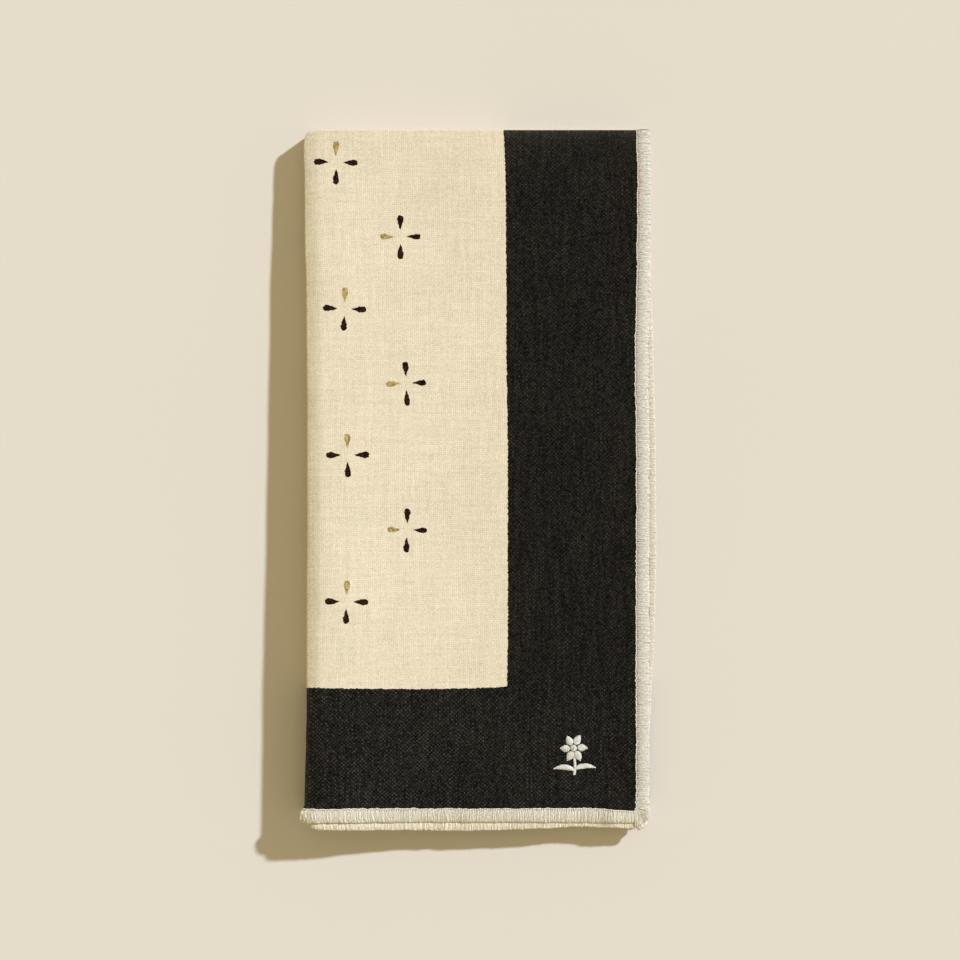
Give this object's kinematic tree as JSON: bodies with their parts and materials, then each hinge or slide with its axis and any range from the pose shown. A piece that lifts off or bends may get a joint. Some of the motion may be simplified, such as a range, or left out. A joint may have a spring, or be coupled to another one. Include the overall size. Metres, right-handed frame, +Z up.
{
  "type": "cloth napkin, folded",
  "caption": "Square dinner napkin of printed plain-weave cloth with an overlocked edge, folded in half and then in quarters to a long rectangle that lies flat.",
  "frame": {"origin": "middle of the folded napkin's bounding box, on the surface it lies on", "axes": "+Z up, +Y along the long side toward the far crease, +X toward the side where the cut edges end"},
  "size_m": [0.129, 0.2538, 0.0133],
  "materials": {
    "printed_cloth": "matt plain weave, cream ground with a charcoal border and small printed motifs, ivory overlock thread on its edges"
  },
  "bodies": {
    "root": {"napkin_cloth": "printed_cloth"}
  },
  "joints": []
}
